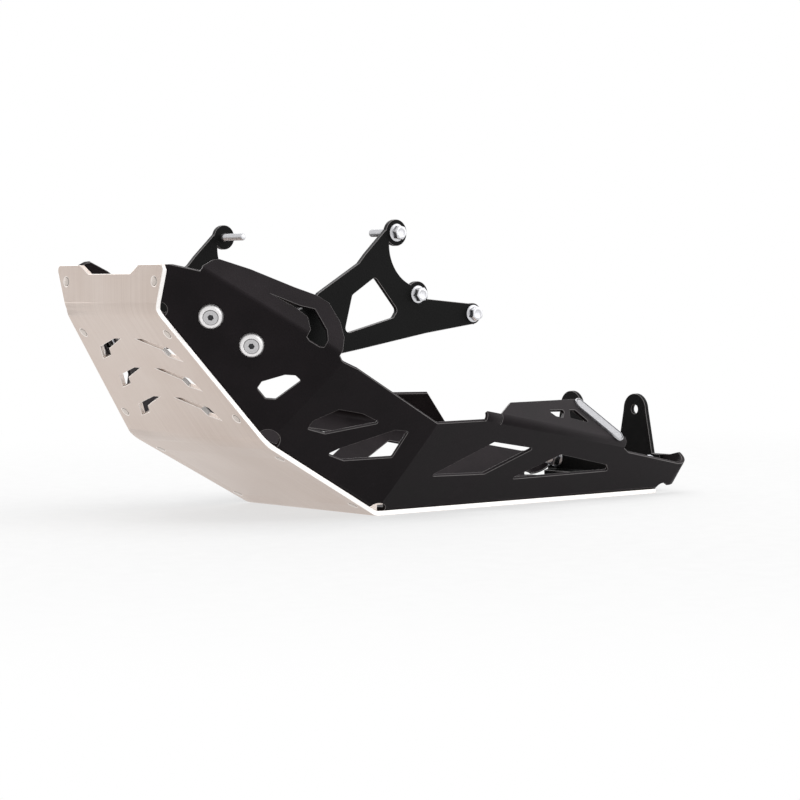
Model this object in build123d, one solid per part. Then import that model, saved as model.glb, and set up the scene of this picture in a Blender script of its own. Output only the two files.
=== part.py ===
"""Engine guard for a V-twin adventure motorcycle: a bent alloy base plate between two folded side panels.

Millimetres. +X points to the motorcycle's rear, -Y to its left side and +Z up.
Every piece is drawn from the bend where the keel's underside meets the chin, on the centre plane, and is
moved as it is written, so that the finished part has its origin midway along the keel's underside.
Only the left half of what comes in pairs is drawn: the right half is its mirror image.
"""
from build123d import *
from math import cos, radians, sin, tan
import os

# Base plate: the side view of its underside, from the keel bend forwards and up
keel_length = 322.0
chin_run = 114.0
chin_rise = 62.6
face_run = 81.0
face_rise = 105.4
lip_rise = 36.0
plate_thickness = 4.0

# Base plate: half widths at its bends
keel_half_width = 88.0
cheek_half_width = 94.0
brow_half_width = 64.5
lip_half_width = 77.0

# Base plate: inside radii of its bends, rounded corners and the notch in its top edge
keel_bend_radius = 12.0
cheek_bend_radius = 32.0
brow_bend_radius = 16.0
tab_corner_radius = 4.0
tail_corner_radius = 10.0
notch_depth = 7.0
notch_floor_half_width = 30.0
notch_mouth_half_width = 42.0

# Vent slots: one bent slot, repeated down the front face and mirrored
slot_rows = 3
slot_pitch = 29.8
slot_first_row = 28.0
slot_inner_tip = 11.0
slot_inner_bend = 19.5
slot_elbow = 49.5
slot_outer_tip = 56.5
slot_inner_elbow = 38.0
slot_drop = 21.5
slot_elbow_drop = 9.0
slot_throat_drop = 10.5
slot_heel_drop = 17.0
slot_heel_shift = 3.0

# Side panels: folded sheet, with its keel part leaning out
panel_thickness = 3.0
panel_bend_radius = 2.0
panel_depth = 89.7
keel_part_lean = 36.7
front_fold_height = 88.0
chin_top_start = -115.5
deck_end = 84.0
tail_overhang = 20.0
tail_step_start = 256.0
tail_step_depth = 45.0
tail_depth = 28.0
tail_straight = 3.0
tail_lift = 3.0
tail_turn_radius = 9.0
tail_tab_bottom = 8.0
tail_tab_top = 33.0
tail_tab_end = 12.0
tail_tab_shoulder = 10.0
tail_tab_shoulder_drop = 10.0

# Side panels: flanges along the base plate, and the round reliefs at its bends
edge_flange_width = 20.0
edge_flange_slant = 16.0
cheek_relief_radius = 10.0
keel_relief_radius = 8.0
brow_relief_radius = 6.0
tail_relief_radius = 6.0

# Side panels: upper flange of the front part, and the window across its bend
front_flange_start = (-140.2, 46.5)
front_flange_end = (-22.5, 90.0)
front_flange_angle = 50.0
front_flange_outline = [(4.3, 12.0), (8.4, 15.7), (33.0, 22.7), (70.0, 29.9), (87.6, 34.2), (99.2, 34.2),
                        (114.0, 24.0), (122.0, 14.0)]
front_flange_window = [(58.7, 13.3), (80.0, 17.6), (91.6, 22.2), (107.5, 11.0), (111.5, 3.5), (111.5, -3.5),
                       (108.5, -5.0), (99.5, -5.0), (96.0, -3.5), (96.0, 3.5), (89.5, 12.5), (79.0, 14.0)]

# Side panels: upper flange of the keel part, and its two windows
rear_flange_start = (90.0, 91.0)
rear_flange_end = (249.0, 56.4)
rear_flange_angle = 75.0
rear_flange_bend_radius = 4.0
rear_flange_outline = [(19.0, 20.0), (121.0, 40.4), (160.0, 8.0)]
rear_flange_windows = [[(66.8, 19.6), (74.7, 14.7), (83.5, 14.5), (91.7, 24.0)],
                       [(98.6, 25.0), (107.0, 26.2), (120.4, 14.8), (94.3, 16.0)]]

# Side panels: windows in the front, chin and keel parts
front_windows = [[(-41.4, 26.5), (-39.2, 20.2), (-29.0, 20.2), (-23.8, 26.0), (-23.8, 51.2), (-29.7, 50.3),
                  (-34.9, 44.2)]]
chin_windows = [[(-110.9, 34.5), (-109.3, 26.4), (-93.4, 31.1), (-61.5, 64.0), (-81.2, 61.8), (-100.6, 53.9)],
                [(-77.8, 17.5), (-61.2, 20.8), (-28.4, 45.2), (-35.3, 71.0), (-46.0, 65.7), (-73.1, 27.2)]]
keel_windows = [[(38.5, 33.8), (98.5, 32.0), (140.6, 56.8), (91.7, 66.5)],
                [(129.0, 24.0), (243.1, 25.5), (236.9, 32.6), (175.9, 47.9)]]
panel_window_radius = 1.5

# Rivets that join plate and panels
rivet_head = 8.0
rivet_head_depth = 1.8
rivet_shank = 4.0
rivet_tail = 6.6
rivet_tail_height = 2.2
rivet_edge = 9.5
lip_rivet_share = 0.36
face_rivet_shares = (0.17, 0.8)
chin_rivet_shares = (0.19, 0.85)
keel_rivets = 4
keel_rivet_margin = 28.0

# Socket screws in cup washers, two on each side panel
screw_size = 6.0
screw_head = 12.0
screw_head_height = 3.0
screw_length = 20.0
screw_socket = 4.0
screw_socket_depth = 2.4
screw_places = [(-106.2, 28.1), (-69.4, 38.8)]
cup_diameter = 20.0
cup_height = 4.6
cup_rim_height = 1.2
cup_crown = 15.4

# Flanged hexagon bolts and nuts, 6 mm size
hex_width = 10.0
hex_flange = 14.2
hex_flange_height = 1.5
hex_head_height = 6.4
engine_bolt_length = 32.0
nut_height = 6.0

# Engine brackets: foot on the side panel's inner face, arm in an upright plane
bracket_thickness = 4.0
bracket_offset = 120.0
bracket_bend_radius = 4.0
bracket_fold_top = 160.5
bracket_fold_bottom = 126.0
engine_bolt_places = [(-2.3, 227.9), (19.1, 178.8), (77.1, 162.6)]
engine_bolt_lobes = (10.5, 10.5, 8.5)
arm_lower_edge = [(-42.0, 136.0), (28.0, 147.7), (78.5, 154.2)]
arm_upper_edge = [(74.6, 170.7), (29.0, 175.0), (12.0, 186.5)]
arm_hollow = (-4.0, 199.5)
arm_neck = [(-9.5, 221.0), (-12.5, 230.5), (-33.0, 211.4), (-40.0, 203.9), (-80.0, 181.0), (-87.0, 173.5)]
arm_window = [(-24.0, 193.0), (-1.5, 166.5), (-6.0, 160.5), (-55.5, 148.5), (-47.0, 179.0)]
arm_window_radius = 3.5
foot_outline = [(-48.0, 38.0), (-62.0, 28.0), (-104.0, 16.5), (-117.0, 20.0), (-118.0, 34.0), (-98.0, 42.0),
                (-80.0, 50.0)]

# Rear cross bracket and its fasteners, 8 mm size
rear_bolt_size = 8.0
rear_bolt_length = 20.0
rear_hex_width = 13.0
rear_hex_flange = 17.9
rear_hex_flange_height = 1.8
rear_head_height = 8.0
rear_nut_height = 8.0
rear_bolt_half_spacing = 62.0
rear_bolt_height = 23.0
rear_strap_end = 12.0
rear_strap_thickness = 4.0
rear_strap_bend_radius = 2.0
rear_shelf_width = 16.0
rear_shelf_inset = 8.0
ear_hole_height = 72.0
ear_half_spacing = 42.0
ear_half_width = 14.0
ear_root_half_width = 22.0

# Badge plate, left blank
badge_length = 55.0
badge_width = 11.5
badge_thickness = 1.8
badge_rim = 1.0
badge_rim_depth = 0.4
badge_pin = 1.8
badge_pin_head = 2.8
badge_pin_head_height = 0.5
badge_pin_inset = 7.0
badge_place = (134.6, 20.0)
badge_tilt = 39.0

# Clearances, how far a cutter runs past what it cuts, and how closely points count as the same
hole_clearance = 0.4
fit_clearance = 0.05
step_margin = 0.6
overrun = 1.0
long_cut = keel_length + chin_run + face_run
tolerance = 1e-4


# Geometry helpers
def face_normal(direction):
    """Outward normal, down and forwards, of a plate face that runs in this side-view direction."""
    return Vector(direction.Z, 0, -direction.X)


def inner_corner(corner, before, after):
    """Where a side-view corner of the underside lands on the plate's upper face."""
    bisector = face_normal(before) + face_normal(after)
    return corner - bisector * (2 * plate_thickness / bisector.dot(bisector))


def at_half_width(point, half_width):
    """The same side-view point on the plate's left edge."""
    return Vector(point.X, -half_width, point.Z)


def facet(origin, along, normal):
    """A plane on a sheet's outer face, with its own Y pointing away from the edge that it starts on."""
    return Plane(origin=origin, x_dir=along, z_dir=normal)


def on(plane, point):
    """A facet's flat point as a point of the whole part."""
    return plane.from_local_coords(Vector(point[0], point[1], 0))


def flat(plane, point):
    """A point of the whole part as a facet's flat point."""
    local = plane.to_local_coords(point)
    return (local.X, local.Y)


def lifted(plane, height, point=(0.0, 0.0)):
    """The same axes, moved to a flat point of the plane and off it by a height."""
    return Plane(origin=on(plane, point) + plane.z_dir * height, x_dir=plane.x_dir, z_dir=plane.z_dir)


def outline(points, radius=0.0):
    shape = make_face(Polyline(*points, close=True))
    return fillet(shape.vertices(), radius) if radius else shape


def slab(plane, shape, thickness):
    """A flat shape on a facet, given its thickness inwards."""
    return extrude(plane * shape, amount=thickness, dir=-plane.z_dir)


def punch(plane, shape, depth):
    """A cutter for a hole through one facet, a little longer than the sheet is thick."""
    return slab(lifted(plane, overrun), shape, depth + 2 * overrun)


def bent_plane(parent, start, end, angle):
    """The facet of a flange that is bent inwards along a line of its parent, by an angle in degrees."""
    first = on(parent, start)
    along = (on(parent, end) - first).normalized()
    across = parent.z_dir.cross(along)
    normal = parent.z_dir * cos(radians(angle)) + across * sin(radians(angle))
    return facet(first, along, normal)


def stepped(plane, point, fold, distance):
    """A flat point reached from a fold's end, straight away from the fold, so that both sides match."""
    away = plane.z_dir.cross(fold.normalized()) * distance
    return flat(plane, point + away)


def spun(profile):
    """A turned piece about Z, from its half section as (radius, height) points."""
    section = outline([(radius, 0, height) for radius, height in profile])
    return revolve(section, axis=Axis.Z)


def hexagon(width):
    return RegularPolygon(radius=width / 2, side_count=6, major_radius=False)


def setback(radius, thickness, angle):
    """How far from its fold line a bend starts, for an inside radius and an angle in degrees."""
    return (radius + thickness) * tan(radians(angle / 2))


def fold_step(first, second, radius, thickness):
    """How far a sheet's edge steps back beside the end of the bend between these two facets."""
    return setback(radius, thickness, first.z_dir.get_angle(second.z_dir)) + step_margin


def folded_sheet(facets, folds, thickness, reliefs=()):
    """One sheet with several flat parts: each is cut back to where its bends start, and the bends join them.

    facets is {name: (plane, flat shape)}, folds is [(name, name, start, end, inside radius)], and reliefs
    is [(centre, radius)] for the round holes at the corners where folds would meet.
    """
    solids = {name: slab(plane, shape, thickness) for name, (plane, shape) in facets.items()}
    cuts = []
    for first, second, start, end, radius in folds:
        angle = facets[first][0].z_dir.get_angle(facets[second][0].z_dir)
        for name in (second, first):
            away = facets[name][0].z_dir.cross((end - start).normalized())
            away = away if away.dot(solids[name].center() - start) > 0 else -away
            cut = Plane(origin=start + away * setback(radius, thickness, angle), z_dir=away)
            solids[name] = split(solids[name], bisect_by=cut, keep=Keep.TOP)
        cuts.append(cut)
    bends = []
    for (first, second, start, end, radius), cut in zip(folds, cuts):
        normal, turned = facets[first][0].z_dir, facets[second][0].z_dir
        centre = start - (normal + turned) * ((radius + thickness) / (1 + normal.dot(turned)))
        for face in solids[first].faces():
            level = abs(cut.to_local_coords(face.center()).Z)
            if max(level, (face.normal_at() + cut.z_dir).length) < tolerance:
                axis = Axis(centre, normal.cross(turned))
                bends.append(revolve(face, axis=axis, revolution_arc=normal.get_angle(turned)))
    sheet, *others = list(solids.values()) + bends
    sheet += others
    for centre, radius in reliefs:
        sheet -= Pos(centre) * Sphere(radius)
    return sheet


def write(name, solids):
    """One STEP file for a node, from one solid or a group of like ones, moved to the part's own origin."""
    group = solids if isinstance(solids, list) else [solids]
    bodies = [Pos(-keel_length / 2, 0, 0) * body for solid in group for body in solid.solids()]
    shape = bodies[0] if len(bodies) == 1 else Compound(children=bodies)
    export_step(shape, f"parts/{name}.step")


def write_pair(name, solids):
    group = solids if isinstance(solids, list) else [solids]
    write(f"{name}_left", group)
    write(f"{name}_right", [mirror(solid, about=Plane.XZ) for solid in group])


# Corners of the plate, seen from the side: on its underside, then on its upper face
keel_corner = Vector(0, 0, 0)
cheek_corner = Vector(-chin_run, 0, chin_rise)
brow_corner = cheek_corner + Vector(-face_run, 0, face_rise)
lip_corner = brow_corner + Vector(0, 0, lip_rise)
tail_corner = Vector(keel_length, 0, 0)
along_keel = Vector(1, 0, 0)
along_chin = (keel_corner - cheek_corner).normalized()
along_face = (cheek_corner - brow_corner).normalized()
along_lip = Vector(0, 0, -1)

keel_inner = inner_corner(keel_corner, along_chin, along_keel)
cheek_inner = inner_corner(cheek_corner, along_face, along_chin)
brow_inner = inner_corner(brow_corner, along_lip, along_face)
lip_inner = lip_corner + Vector(plate_thickness, 0, 0)
tail_inner = tail_corner + Vector(0, 0, plate_thickness)

keel_edge = at_half_width(keel_inner, keel_half_width)
cheek_edge = at_half_width(cheek_inner, cheek_half_width)
brow_edge = at_half_width(brow_inner, brow_half_width)
lip_edge = at_half_width(lip_inner, lip_half_width)
tail_edge = at_half_width(tail_inner, keel_half_width)
tail_start = keel_length - keel_inner.X
keel_part_length = tail_start + tail_overhang

# The plate's four faces, each measured from its upper bend, with Y to the motorcycle's left
lip_face = facet(lip_corner, along_lip, face_normal(along_lip))
front_face = facet(brow_corner, along_face, face_normal(along_face))
chin_face = facet(cheek_corner, along_chin, face_normal(along_chin))
keel_face = facet(keel_corner, along_keel, face_normal(along_keel))
face_length = (cheek_corner - brow_corner).length
chin_length = (keel_corner - cheek_corner).length

# The side panel's front, chin and keel parts
front_normal = (cheek_edge - brow_edge).cross(lip_edge - brow_edge).normalized()
front_part = facet(cheek_edge, cheek_edge - brow_edge, front_normal)
lean = radians(keel_part_lean)
keel_part = facet(keel_edge, along_keel, Vector(0, -cos(lean), -sin(lean)))

# The keel fold halves its corner, so that top edges meet there as bottom edges do
chin_edge = (keel_edge - cheek_edge).normalized()
keel_fold_slope = -keel_part.y_dir.dot(chin_edge) / (1 + chin_edge.X)
keel_fold_top = on(keel_part, (keel_fold_slope * panel_depth, panel_depth))
chin_normal = (keel_edge - cheek_edge).cross(keel_fold_top - keel_edge).normalized()
chin_part = facet(keel_edge, keel_edge - cheek_edge, chin_normal)
front_fold = front_normal.cross(chin_normal).normalized()
front_fold_top = cheek_edge + front_fold * front_fold_height

upper_front = bent_plane(front_part, front_flange_start, front_flange_end, front_flange_angle)
upper_rear = bent_plane(keel_part, rear_flange_start, rear_flange_end, rear_flange_angle)


def base_plate():
    """One bent sheet: its side view is drawn, extruded, and cut to its outline as seen from the front."""
    outer = [tail_corner, keel_corner, cheek_corner, brow_corner, lip_corner]
    inner = [lip_inner, brow_inner, cheek_inner, keel_inner, tail_inner]
    profile = outline([(point.X, point.Z) for point in outer + inner])
    bends = [(keel_corner, keel_inner, keel_bend_radius), (cheek_corner, cheek_inner, cheek_bend_radius),
             (brow_corner, brow_inner, brow_bend_radius)]
    for outside, inside, radius in bends:
        for corner, size in ((outside, radius + plate_thickness), (inside, radius)):
            vertex = profile.vertices().sort_by_distance((corner.X, corner.Z, 0))[0]
            profile = fillet(vertex, size)
    sheet = extrude(Plane.XZ * profile, amount=cheek_half_width, both=True)

    heights = [(keel_half_width, -overrun), (keel_half_width, keel_inner.Z), (cheek_half_width, cheek_inner.Z),
               (brow_half_width, brow_inner.Z), (lip_half_width, lip_corner.Z)]
    left = [(-half_width, height) for half_width, height in heights]
    right = [(half_width, height) for half_width, height in reversed(heights)]
    front_view = outline(left + right)
    tops = front_view.vertices().sort_by(Axis.Y)[-2:]
    front_view = fillet(tops, tab_corner_radius)
    notch = outline([(-notch_mouth_half_width, lip_corner.Z + overrun), (-notch_mouth_half_width, lip_corner.Z),
                     (-notch_floor_half_width, lip_corner.Z - notch_depth),
                     (notch_floor_half_width, lip_corner.Z - notch_depth),
                     (notch_mouth_half_width, lip_corner.Z), (notch_mouth_half_width, lip_corner.Z + overrun)])
    sheet &= extrude(Plane.YZ * (front_view - notch), amount=long_cut, both=True)

    for row in range(slot_rows):
        top = slot_first_row + row * slot_pitch
        slot = [(top, slot_inner_tip), (top, slot_inner_bend), (top + slot_elbow_drop, slot_elbow),
                (top + slot_drop, slot_outer_tip), (top + slot_heel_drop, slot_inner_elbow + slot_heel_shift),
                (top + slot_throat_drop, slot_inner_elbow)]
        sheet -= punch(front_face, outline(slot), plate_thickness)
        sheet -= punch(front_face, outline([(along, -across) for along, across in reversed(slot)]),
                       plate_thickness)
    for place in rivet_places():
        sheet -= rivet_hole(place)
        sheet -= mirror(rivet_hole(place), about=Plane.XZ)
    tail = sheet.edges().filter_by(Axis.Z).sort_by(Axis.X)[-2:]
    return fillet(tail, tail_corner_radius)


def rivet_places():
    """Axes of the left-hand rivets on the underside, from the top of the lip to the tail of the keel."""
    lip_spread = (lip_half_width, brow_half_width)
    face_spread = (brow_half_width, cheek_half_width)
    chin_spread = (cheek_half_width, keel_half_width)
    rows = [(lip_face, lip_rise, lip_spread, lip_rivet_share)]
    rows += [(front_face, face_length, face_spread, share) for share in face_rivet_shares]
    rows += [(chin_face, chin_length, chin_spread, share) for share in chin_rivet_shares]
    places = []
    for plane, length, (first, last), share in rows:
        half_width = first + (last - first) * share
        places.append(lifted(plane, 0, (length * share, half_width - rivet_edge)))
    for index in range(keel_rivets):
        step = (keel_length - 2 * keel_rivet_margin) / (keel_rivets - 1)
        along = keel_rivet_margin + index * step
        places.append(lifted(keel_face, 0, (along, keel_half_width - rivet_edge)))
    return places


def rivet_section(clearance=0.0):
    """Half section of a rivet's countersunk head and of its shank through both sheets."""
    head, shank = rivet_head / 2 + clearance, rivet_shank / 2 + clearance
    return [(head, 0), (shank, -rivet_head_depth), (shank, -plate_thickness - panel_thickness)]


def rivet(place):
    """Countersunk rivet: flush head on the underside, spread tail inside the panel's flange."""
    section = rivet_section()
    tail, grip = rivet_tail / 2, section[-1][1]
    end = grip - rivet_tail_height
    return place * spun([(0, 0)] + section + [(tail, grip), (tail, end), (0, end)])


def rivet_hole(place):
    section = rivet_section(fit_clearance)
    (head, _), (shank, grip) = section[0], section[-1]
    outside, inside = [(0, overrun), (head, overrun)], [(shank, grip - overrun), (0, grip - overrun)]
    return place * spun(outside + section + inside)


def window(points):
    return outline(points, panel_window_radius)


def hole(size, at):
    """Flat clearance hole for a screw or bolt of this size."""
    return Pos(at[0], at[1]) * Circle((size + hole_clearance) / 2)


def side_panel(with_badge=False):
    """Left panel: three large facets, two upper flanges, a turned-in tail and four flanges on the plate."""
    front_fold_line = front_fold_top - cheek_edge
    front_flange_line = on(front_part, front_flange_end) - on(front_part, front_flange_start)
    rear_flange_line = on(keel_part, rear_flange_end) - on(keel_part, rear_flange_start)
    upper_front_length = front_flange_line.length
    upper_rear_length = rear_flange_line.length

    chin_step = fold_step(front_part, chin_part, panel_bend_radius, panel_thickness)
    lip_step = fold_step(front_part, lip_face, panel_bend_radius, panel_thickness)
    front_step = fold_step(front_part, upper_front, panel_bend_radius, panel_thickness)
    rear_step = fold_step(keel_part, upper_rear, rear_flange_bend_radius, panel_thickness)
    front_points = [
        (0, 0), flat(front_part, front_fold_top),
        stepped(front_part, front_fold_top, front_fold_line, chin_step),
        stepped(front_part, on(front_part, front_flange_end), -front_flange_line, front_step),
        front_flange_end, front_flange_start,
        stepped(front_part, on(front_part, front_flange_start), -front_flange_line, front_step),
        stepped(front_part, lip_edge, brow_edge - lip_edge, lip_step),
        flat(front_part, lip_edge), flat(front_part, brow_edge)]
    chin_points = [
        flat(chin_part, cheek_edge), (0, 0), flat(chin_part, keel_fold_top), (chin_top_start, panel_depth),
        stepped(chin_part, front_fold_top, -front_fold_line, chin_step), flat(chin_part, front_fold_top)]
    tail_angle = keel_part.z_dir.get_angle(along_keel)
    tail_bend = setback(tail_turn_radius, panel_thickness, tail_angle) + tail_straight
    keel_points = [
        (0, 0), (tail_start, 0), (tail_start, tail_lift), (keel_part_length, tail_lift),
        (keel_part_length, tail_depth), (keel_part_length - tail_bend, tail_depth),
        (tail_step_start, tail_step_depth),
        stepped(keel_part, on(keel_part, rear_flange_end), -rear_flange_line, rear_step),
        rear_flange_end, rear_flange_start,
        stepped(keel_part, on(keel_part, rear_flange_start), -rear_flange_line, rear_step),
        (deck_end, panel_depth), flat(keel_part, keel_fold_top)]

    tail_low = on(keel_part, (keel_part_length, tail_lift))
    tail_high = on(keel_part, (keel_part_length, tail_depth))
    tail_part = facet(tail_low, tail_high - tail_low, along_keel)
    shoulder = rear_bolt_half_spacing + tail_tab_shoulder
    tab_end = rear_bolt_half_spacing - tail_tab_end
    tab = [(shoulder, tail_tab_bottom), (tab_end, tail_tab_bottom), (tab_end, tail_tab_top),
           (shoulder + tail_tab_shoulder_drop, tail_tab_top)]
    tail_points = [(0, 0), (0, -tail_bend)]
    tail_points += [flat(tail_part, Vector(tail_low.X, -across, height)) for across, height in tab]
    tail_points += [(tail_depth - tail_lift, -tail_bend), (tail_depth - tail_lift, 0)]

    tail_hole = hole(rear_bolt_size, flat(tail_part, rear_bolt_place().origin))

    upper_front_points = [(0, 0), (0, front_step)] + front_flange_outline
    upper_front_points += [(upper_front_length, front_step), (upper_front_length, 0)]
    upper_rear_points = [(0, 0), (0, rear_step)] + rear_flange_outline
    upper_rear_points += [(upper_rear_length, rear_step), (upper_rear_length, 0)]

    front_shape = outline(front_points)
    for shape in [window(points) for points in front_windows] + [hole(screw_size, at) for at in screw_places]:
        front_shape -= shape
    laid_flat = Plane(origin=(front_flange_start[0], front_flange_start[1], 0),
                      x_dir=Vector(*front_flange_end) - Vector(*front_flange_start), z_dir=(0, 0, 1))
    front_shape -= laid_flat * outline(front_flange_window)
    chin_shape = outline(chin_points)
    for points in chin_windows:
        chin_shape -= window(points)
    keel_shape = outline(keel_points)
    for points in keel_windows:
        keel_shape -= window(points)
    upper_rear_shape = outline(upper_rear_points)
    for points in rear_flange_windows:
        upper_rear_shape -= window(points)
    if with_badge:
        for pin in badge_pin_axes():
            upper_rear_shape -= Pos(*flat(upper_rear, pin.origin)) * Circle(badge_pin / 2 + fit_clearance)

    facets = {
        "front": (front_part, front_shape),
        "chin": (chin_part, chin_shape),
        "keel": (keel_part, keel_shape),
        "tail": (tail_part, outline(tail_points) - tail_hole),
        "upper_front": (upper_front, outline(upper_front_points) - outline(front_flange_window)),
        "upper_rear": (upper_rear, upper_rear_shape),
    }
    folds = [
        ("front", "chin", cheek_edge, front_fold_top, panel_bend_radius),
        ("chin", "keel", keel_edge, keel_fold_top, panel_bend_radius),
        ("keel", "tail", tail_low, tail_high, tail_turn_radius),
        ("front", "upper_front", on(front_part, front_flange_start), on(front_part, front_flange_end),
         panel_bend_radius),
        ("keel", "upper_rear", on(keel_part, rear_flange_start), on(keel_part, rear_flange_end),
         rear_flange_bend_radius),
    ]
    corners = [lip_edge, brow_edge, cheek_edge, keel_edge, tail_edge]
    faces = [lip_face, front_face, chin_face, keel_face]
    parents = ["front", "front", "chin", "keel"]
    for index, (face, parent) in enumerate(zip(faces, parents)):
        start, end = corners[index], corners[index + 1]
        length = (end - start).length
        first_slant = edge_flange_slant if index > 0 else 0
        last_slant = edge_flange_slant if index < len(faces) - 1 else 0
        plane = facet(start, end - start, face.z_dir)
        strip = outline([(0, 0), (length, 0), (length - last_slant, -edge_flange_width),
                         (first_slant, -edge_flange_width)])
        for place in rivet_places():
            if (place.z_dir - face.z_dir).length < tolerance:
                strip -= Pos(*flat(plane, place.origin)) * Circle(rivet_shank / 2 + fit_clearance)
        facets[f"edge_{index}"] = (plane, strip)
        folds.append((parent, f"edge_{index}", start, end, panel_bend_radius))
    reliefs = [(cheek_edge, cheek_relief_radius), (keel_edge, keel_relief_radius),
               (brow_edge, brow_relief_radius), (tail_edge, tail_relief_radius)]
    return folded_sheet(facets, folds, panel_thickness, reliefs)


def rear_bolt_place():
    """Axis of the left rear bolt, on the outer face of the panel's turned-in tail."""
    origin = Vector(keel_edge.X + keel_part_length, -rear_bolt_half_spacing, rear_bolt_height)
    return Plane(origin=origin, x_dir=(0, 1, 0), z_dir=(1, 0, 0))


def cup_washer(place):
    """Turned cup whose countersink takes the screw's head flush with its crown."""
    bore = (screw_size + hole_clearance) / 2
    head = screw_head / 2 + fit_clearance
    outer, crown = cup_diameter / 2, cup_crown / 2
    section = [(bore, 0), (outer, 0), (outer, cup_rim_height), (crown, cup_height), (head, cup_height),
               (bore, cup_height - (head - bore))]
    return place * spun(section)


def panel_screw(place):
    """Countersunk socket screw, its head flush with the top of the cup."""
    head, shank, tip = screw_head / 2, screw_size / 2, cup_height - screw_length
    section = [(0, cup_height), (head, cup_height), (shank, cup_height - screw_head_height), (shank, tip),
               (0, tip)]
    socket = Pos(0, 0, cup_height - screw_socket_depth) * extrude(hexagon(screw_socket), amount=cup_height)
    return place * (spun(section) - socket)


def flanged_hex(width, flange, flange_height, height):
    """Plain hexagon on a round flange, standing on the XY plane."""
    return extrude(Circle(flange / 2), amount=flange_height) + extrude(hexagon(width), amount=height)


def flanged_bolt(place, size, length, width, flange, flange_height, head_height):
    """Bolt with its seat on the place's plane, head along the place's Z and shank the other way."""
    shank = extrude(Circle(size / 2), amount=-length)
    return place * (flanged_hex(width, flange, flange_height, head_height) + shank)


def flanged_nut(place, size, width, flange, flange_height, height):
    bore = extrude(Circle(size / 2 + fit_clearance), amount=height)
    return place * (flanged_hex(width, flange, flange_height, height) - bore)


def turned_over(place, depth):
    """The same axis, facing the other way, at a depth below the place's plane."""
    return Plane(origin=place.origin - place.z_dir * depth, x_dir=place.x_dir, z_dir=-place.z_dir)


def screw_axes():
    return [lifted(front_part, 0, point) for point in screw_places]


def panel_nut(place):
    seat = turned_over(place, panel_thickness + bracket_thickness)
    return flanged_nut(seat, screw_size, hex_width, hex_flange, hex_flange_height, nut_height)


def bracket_planes():
    """Outer faces of the engine bracket's foot, on the panel, and of its upright arm."""
    foot = lifted(front_part, -panel_thickness)
    arm = Plane(origin=(0, -bracket_offset, 0), x_dir=(1, 0, 0), z_dir=(0, -1, 0))
    return foot, arm


def bracket_fold(height):
    """The point of the bracket's fold line at this height."""
    foot, arm = bracket_planes()
    normal = foot.z_dir
    across = normal.Y * (arm.origin.Y - foot.origin.Y) + normal.Z * (height - foot.origin.Z)
    return Vector(foot.origin.X - across / normal.X, arm.origin.Y, height)


def engine_bracket():
    """Foot behind the side panel's front part, and an upright arm with three bolts to the engine."""
    foot, arm = bracket_planes()
    low, high = bracket_fold(bracket_fold_bottom), bracket_fold(bracket_fold_top)
    step = fold_step(foot, arm, bracket_bend_radius, bracket_thickness)
    foot_points = [flat(foot, low), stepped(foot, low, high - low, step)]
    foot_points += foot_outline
    foot_points += [stepped(foot, high, high - low, step), flat(foot, high)]
    start = [flat(arm, low), stepped(arm, low, low - high, step)]
    finish = [stepped(arm, high, low - high, step), flat(arm, high)]
    before = Polyline(*(arm_neck + finish + start + arm_lower_edge + arm_upper_edge))
    hollow = ThreePointArc(arm_upper_edge[-1], arm_hollow, arm_neck[0])
    arm_shape = make_face(before + hollow)
    for point, radius in zip(engine_bolt_places, engine_bolt_lobes):
        arm_shape += Pos(*point) * Circle(radius)
    arm_shape -= outline(arm_window, arm_window_radius)
    for point in engine_bolt_places:
        arm_shape -= hole(screw_size, point)

    foot_shape = outline(foot_points)
    for point in screw_places:
        foot_shape -= hole(screw_size, point)
    facets = {"foot": (foot, foot_shape), "arm": (arm, arm_shape)}
    return folded_sheet(facets, [("foot", "arm", low, high, bracket_bend_radius)], bracket_thickness)


def engine_bolt(point):
    place = lifted(bracket_planes()[1], 0, point)
    return flanged_bolt(place, screw_size, engine_bolt_length, hex_width, hex_flange, hex_flange_height,
                        hex_head_height)


def rear_bracket():
    """Strap bolted inside the panels' turned-in tails, with two ears and a stiff lower edge."""
    back = keel_edge.X + keel_part_length - panel_thickness
    front = back - rear_strap_thickness
    shelf_end = back - rear_shelf_width
    shelf_top = tail_tab_bottom + rear_strap_thickness
    ear_top = ear_hole_height + ear_half_width
    half_length = rear_bolt_half_spacing + rear_strap_end
    profile = outline([(back, tail_tab_bottom), (back, ear_top), (front, ear_top), (front, shelf_top),
                       (shelf_end, shelf_top), (shelf_end, tail_tab_bottom)])
    for corner, radius in (((back, tail_tab_bottom), rear_strap_bend_radius + rear_strap_thickness),
                           ((front, shelf_top), rear_strap_bend_radius)):
        vertex = profile.vertices().sort_by_distance((corner[0], corner[1], 0))[0]
        profile = fillet(vertex, radius)
    bracket = extrude(Plane.XZ * profile, amount=half_length, both=True)

    view = outline([(-half_length, 0), (half_length, 0), (half_length, tail_tab_top),
                    (-half_length, tail_tab_top)])
    for side in (-1, 1):
        middle = side * ear_half_spacing
        root, tip = ear_root_half_width, ear_half_width
        view += outline([(middle - root, tail_tab_top), (middle + root, tail_tab_top),
                         (middle + tip, ear_hole_height), (middle - tip, ear_hole_height)])
        view += Pos(middle, ear_hole_height) * Circle(tip)
    for side in (-1, 1):
        view -= hole(rear_bolt_size, (side * ear_half_spacing, ear_hole_height))
        view -= hole(rear_bolt_size, (side * rear_bolt_half_spacing, rear_bolt_place().origin.Z))
    bracket &= extrude(Plane.YZ * view, amount=long_cut, both=True)
    inset = half_length - rear_shelf_inset
    plan = outline([(back, -half_length), (back, half_length), (front, half_length), (shelf_end, inset),
                    (shelf_end, -inset), (front, -half_length)])
    return bracket & extrude(plan, amount=long_cut)


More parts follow.
